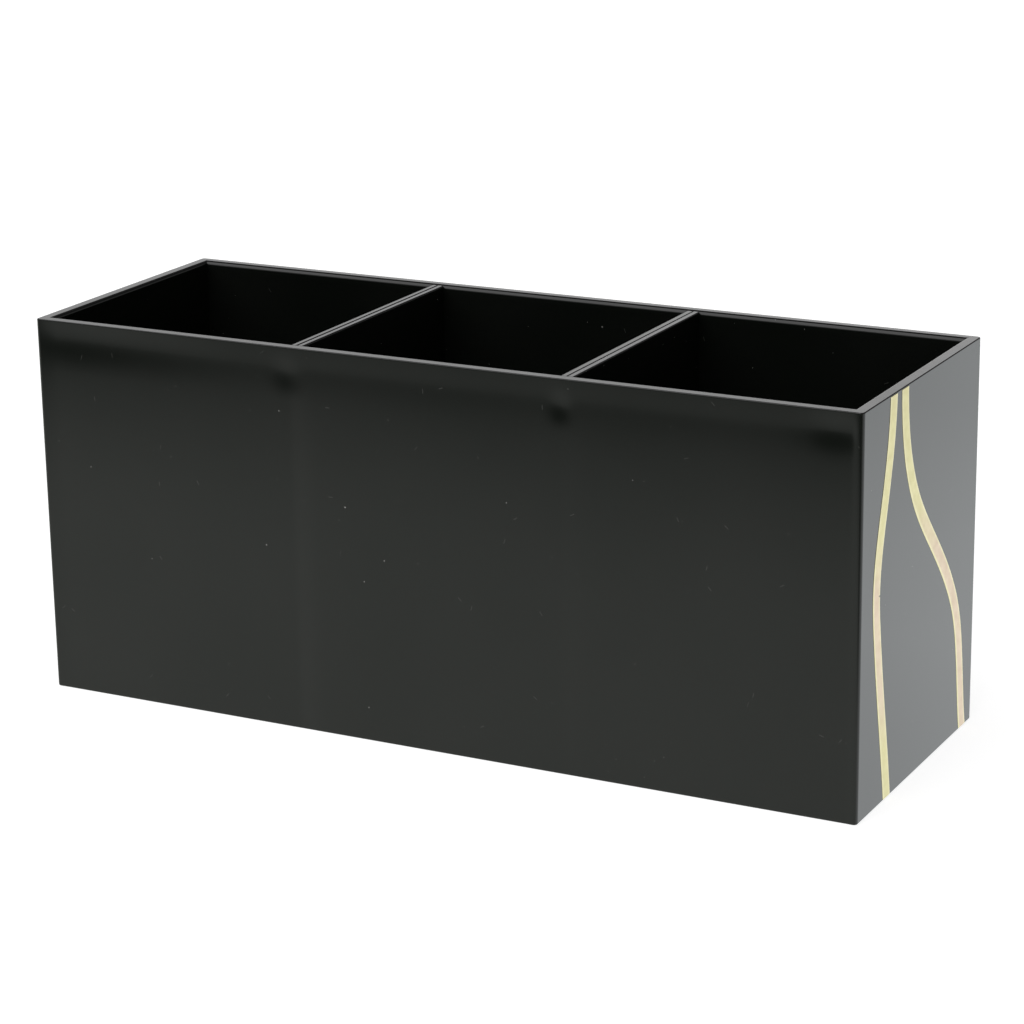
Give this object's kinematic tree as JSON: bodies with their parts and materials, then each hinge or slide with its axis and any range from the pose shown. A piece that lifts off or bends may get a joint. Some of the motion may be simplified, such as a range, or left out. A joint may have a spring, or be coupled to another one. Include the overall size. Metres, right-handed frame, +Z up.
{
  "type": "divided desk organiser box",
  "caption": "Open-topped glossy black organiser box with upright dividers making equal bays for brushes and paint bottles, and curved gold foil stripes on one end.",
  "frame": {"origin": "centre of the underside, on the surface the box stands on", "axes": "+X runs along the row of bays towards the end with the gold stripes, +Y from the front face to the back, +Z up out of the open top"},
  "size_m": [0.2201, 0.077, 0.097],
  "materials": {
    "black_sheet": "polished black sheet, gloss on both faces",
    "gold_foil": "pale gold metallised foil, satin"
  },
  "bodies": {
    "root": {"front_panel": "black_sheet", "back_panel": "black_sheet", "left_end_panel": "black_sheet", "right_end_panel": "black_sheet", "base_panel": "black_sheet", "left_divider_left_ply": "black_sheet", "left_divider_right_ply": "black_sheet", "right_divider_left_ply": "black_sheet", "right_divider_right_ply": "black_sheet", "front_gold_stripe": "gold_foil", "rear_gold_stripe": "gold_foil"}
  },
  "joints": []
}
